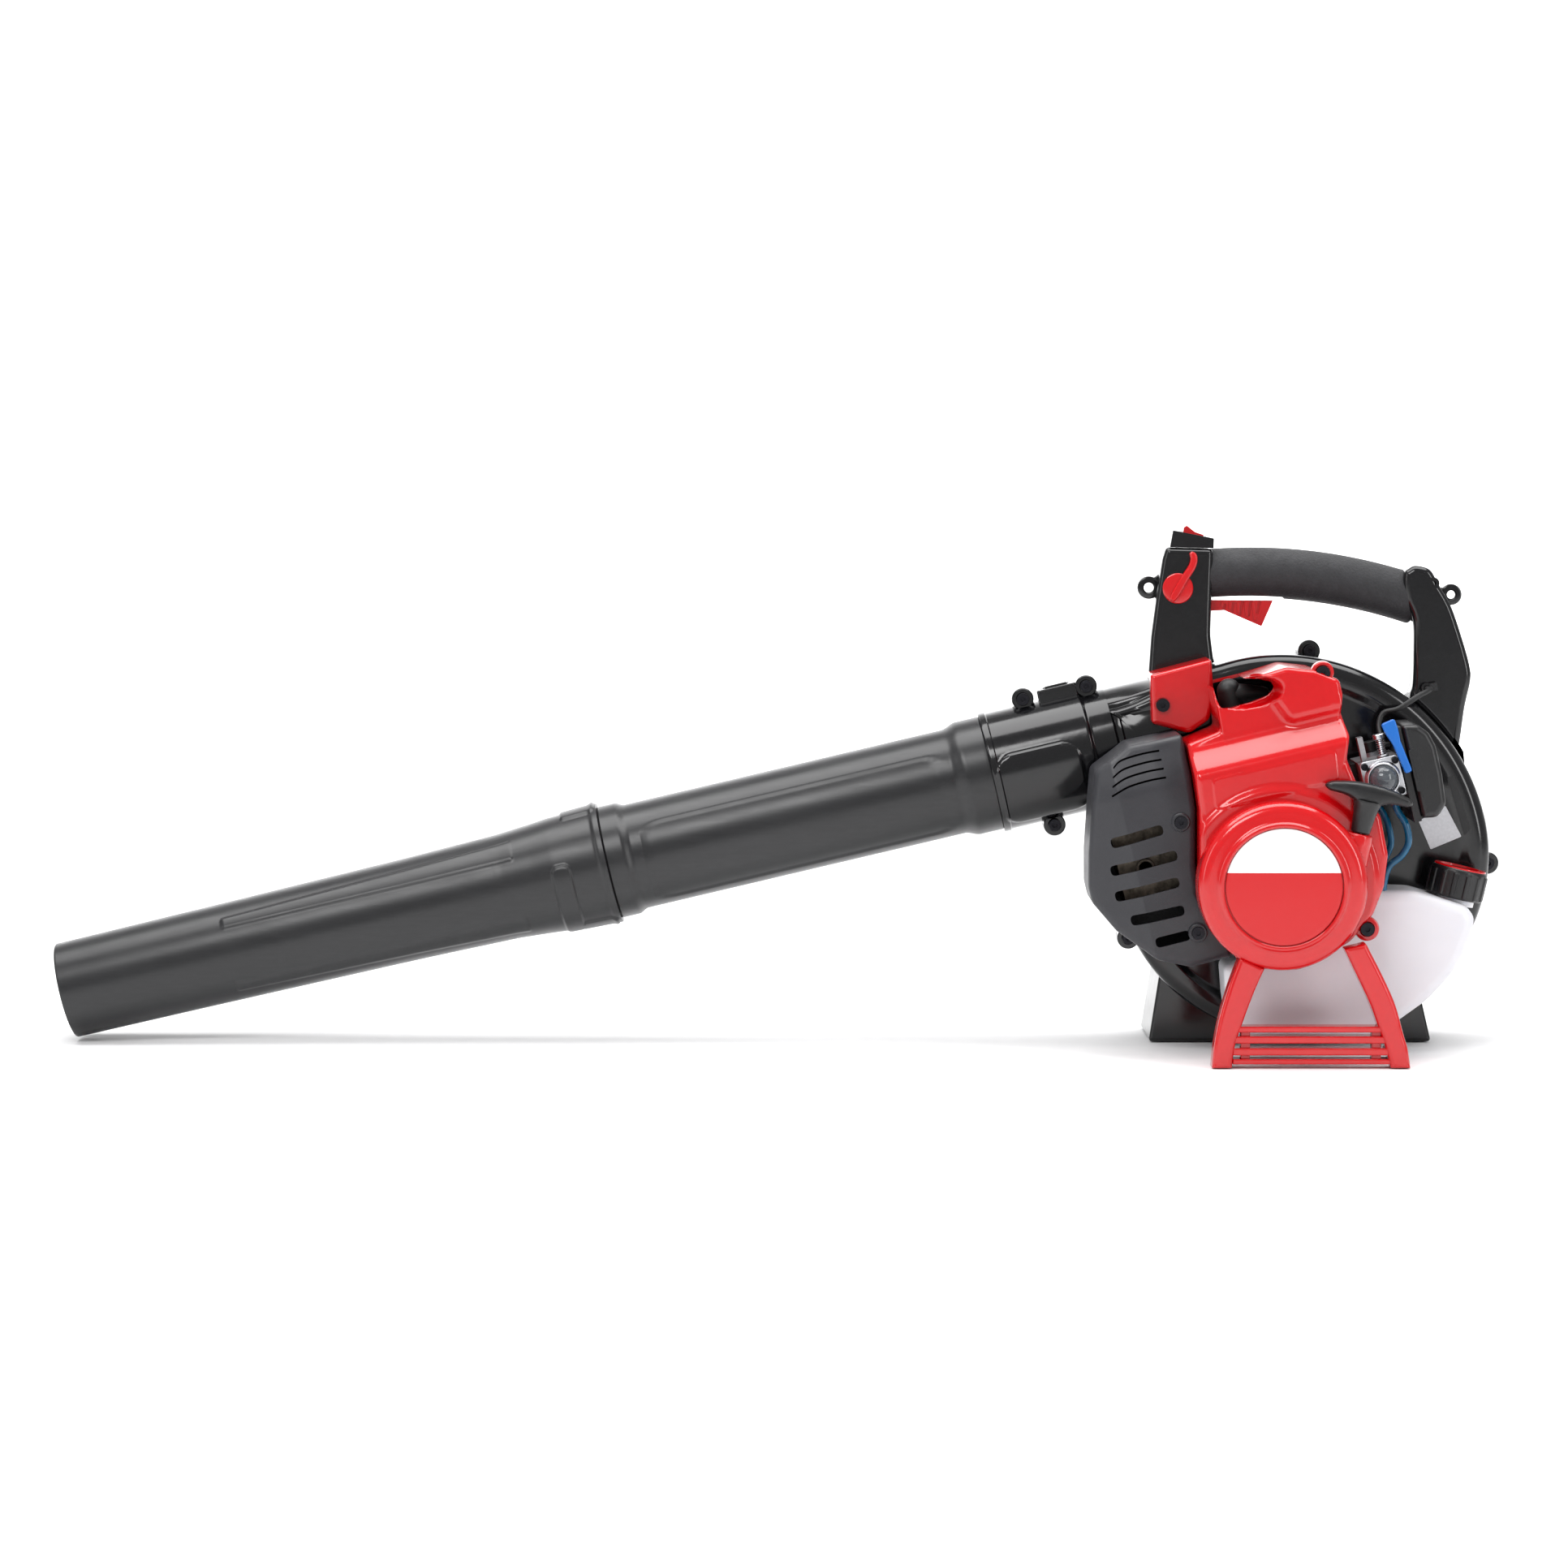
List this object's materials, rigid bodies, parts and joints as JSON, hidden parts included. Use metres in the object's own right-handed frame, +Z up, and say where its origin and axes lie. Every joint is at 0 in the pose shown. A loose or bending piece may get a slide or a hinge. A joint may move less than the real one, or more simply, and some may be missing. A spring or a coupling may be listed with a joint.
{
  "type": "handheld leaf blower",
  "caption": "Handheld petrol leaf blower: two-stroke engine on a scroll fan housing, long two-piece blow tube, foam-gripped loop handle, recoil starter and red front stand.",
  "frame": {"origin": "centre of the bounding box in x and y, on the ground plane that the feet stand on", "axes": "+X to the rear, away from the nozzle; +Y away from the engine side, towards the fan inlet; +Z up"},
  "size_m": [1.1028, 0.23, 0.3934],
  "materials": {
    "black_gloss_abs": "glossy moulded ABS",
    "red_gloss_abs": "glossy moulded ABS",
    "black_blow_moulded": "satin blow-moulded polypropylene",
    "grey_nylon": "fine textured glass-filled nylon",
    "black_nylon": "moulded nylon",
    "grip_foam": "closed-cell foam",
    "tank_polyethylene": "translucent blow-moulded polyethylene",
    "cast_aluminium": "die cast",
    "machined_steel": "machined",
    "black_oxide_steel": "black oxide",
    "zinc_plate": "bright zinc plate",
    "muffler_steel": "heat-stained aluminised steel",
    "seal_rubber": "moulded rubber",
    "ceramic_white": "glazed ceramic",
    "rope_nylon": "braided nylon",
    "choke_blue": "moulded acetal",
    "fuel_line_blue": "translucent urethane tube",
    "bulb_polyurethane": "smoked clear urethane",
    "filter_foam": "open-cell foam",
    "badge_print": "printed label",
    "pulley_nylon": "natural nylon",
    "felt_bronze": "felt filter body"
  },
  "bodies": {
    "root": {"volute_front": "black_gloss_abs", "volute_back": "black_gloss_abs", "housing_screws": "black_oxide_steel", "upper_tube": "black_blow_moulded", "handle_left": "black_gloss_abs", "handle_right": "black_gloss_abs", "foam_grip": "grip_foam", "switch_panel": "black_nylon", "trigger_pin": "machined_steel", "trigger_spring": "machined_steel", "throttle_cable": "seal_rubber", "cable_tie": "black_nylon", "handle_bracket": "red_gloss_abs", "engine_shroud": "red_gloss_abs", "starter_housing": "red_gloss_abs", "front_stand": "red_gloss_abs", "badge_disc": "badge_print", "cover_screws": "black_oxide_steel", "starter_rope": "rope_nylon", "rope_eyelet": "zinc_plate", "recoil_spring": "machined_steel", "ignition_module": "black_nylon", "spark_plug": "ceramic_white", "plug_boot": "seal_rubber", "plug_lead": "seal_rubber", "cylinder": "cast_aluminium", "crankcase": "cast_aluminium", "crank_bearings": "machined_steel", "shaft_seals": "seal_rubber", "muffler": "muffler_steel", "muffler_guard": "grey_nylon", "intake_manifold": "black_nylon", "carburettor": "cast_aluminium", "pump_cover": "zinc_plate", "air_box": "black_nylon", "air_filter": "filter_foam", "air_cleaner_cover": "black_nylon", "fuel_tank": "tank_polyethylene", "fuel_lines": "fuel_line_blue", "fuel_filter": "felt_bronze"},
    "nozzle": {"nozzle": "black_blow_moulded"},
    "tube_latch": {"tube_latch": "black_gloss_abs"},
    "stop_switch": {"stop_switch": "red_gloss_abs"},
    "cruise_lever": {"cruise_lever": "red_gloss_abs"},
    "throttle_trigger": {"throttle_trigger": "red_gloss_abs"},
    "starter_handle": {"starter_handle": "black_nylon"},
    "recoil_pulley": {"recoil_pulley": "pulley_nylon"},
    "rotor": {"flywheel": "cast_aluminium", "starter_cup": "machined_steel", "crankshaft": "machined_steel", "impeller": "black_nylon", "impeller_nut": "zinc_plate"},
    "piston": {"piston": "cast_aluminium", "wrist_pin": "machined_steel"},
    "connecting_rod": {"connecting_rod": "machined_steel"},
    "throttle_lever": {"throttle_lever": "black_nylon"},
    "choke_lever": {"choke_lever": "choke_blue"},
    "primer_bulb": {"primer_bulb": "bulb_polyurethane"},
    "fuel_cap": {"fuel_cap": "black_nylon"},
    "inlet_door": {"inlet_door": "black_gloss_abs"}
  },
  "joints": [
    {"name": "crank_spin", "type": "hinge", "parent": "root", "child": "rotor", "pos_m": [0.37134, 0.053, 0.134], "axis": [0, -1, 0], "continuous": true},
    {"name": "piston_stroke", "type": "slide", "parent": "root", "child": "piston", "axis": [-0.2303, 0, 0.9731], "range_m": [0, 0.028]},
    {"name": "rod_swing", "type": "hinge", "parent": "piston", "child": "connecting_rod", "pos_m": [0.36259, -0.022, 0.17098], "axis": [0, 1, 0], "range_deg": [-14, 14]},
    {"name": "starter_pull", "type": "slide", "parent": "root", "child": "starter_handle", "axis": [0.2179, 0, 0.976], "range_m": [0, 0.7], "stiffness_N_per_m": 12, "springref_m": -0.6, "deforming": ["starter_rope"]},
    {"name": "pulley_turn", "type": "hinge", "parent": "root", "child": "recoil_pulley", "pos_m": [0.37134, -0.095, 0.134], "axis": [0, -1, 0], "range_deg": [0, 1400], "deforming": ["recoil_spring"]},
    {"name": "trigger_squeeze", "type": "hinge", "parent": "root", "child": "throttle_trigger", "pos_m": [0.31611, 0.053, 0.33262], "axis": [0, -1, 0], "range_deg": [0, 12], "stiffness_Nm_per_rad": 0.4, "springref_deg": -22.92, "deforming": ["trigger_spring"]},
    {"name": "throttle_open", "type": "hinge", "parent": "root", "child": "throttle_lever", "pos_m": [0.4448, -0.022, 0.22743], "axis": [0.2303, 0, -0.9731], "range_deg": [0, 76]},
    {"name": "cruise_set", "type": "hinge", "parent": "root", "child": "cruise_lever", "pos_m": [0.30445, 0.033, 0.3463], "axis": [0, 1, 0], "range_deg": [0, 60]},
    {"name": "stop_rock", "type": "hinge", "parent": "root", "child": "stop_switch", "pos_m": [0.31639, 0.053, 0.38343], "axis": [0, -1, 0], "range_deg": [0, 14]},
    {"name": "latch_press", "type": "slide", "parent": "root", "child": "tube_latch", "axis": [0.2303, 0, -0.9731], "range_m": [0, 0.003], "stiffness_N_per_m": 400, "springref_m": -0.003},
    {"name": "nozzle_twist", "type": "hinge", "parent": "root", "child": "nozzle", "pos_m": [-0.12648, 0.053, 0.13589], "axis": [0.9731, 0, 0.2303], "range_deg": [0, 25]},
    {"name": "choke_turn", "type": "hinge", "parent": "root", "child": "choke_lever", "pos_m": [0.46602, -0.066, 0.21807], "axis": [0, 1, 0], "range_deg": [0, 60]},
    {"name": "primer_press", "type": "slide", "parent": "root", "child": "primer_bulb", "axis": [0, 1, 0], "range_m": [0, 0.004], "stiffness_N_per_m": 300, "springref_m": -0.002},
    {"name": "cap_turn", "type": "hinge", "parent": "root", "child": "fuel_cap", "pos_m": [0.50734, -0.022, 0.116], "axis": [0.225, 0, 0.9744], "range_deg": [0, 540]},
    {"name": "door_open", "type": "hinge", "parent": "root", "child": "inlet_door", "pos_m": [0.3543, 0.1079, 0.20601], "axis": [0.9731, 0, 0.2303], "range_deg": [0, 100]}
  ],
  "couplings": [
    {"joint": "pulley_turn", "follows": "starter_pull", "rad_per_m": 31.746},
    {"joint": "throttle_open", "follows": "trigger_squeeze", "ratio": 6.25}
  ]
}
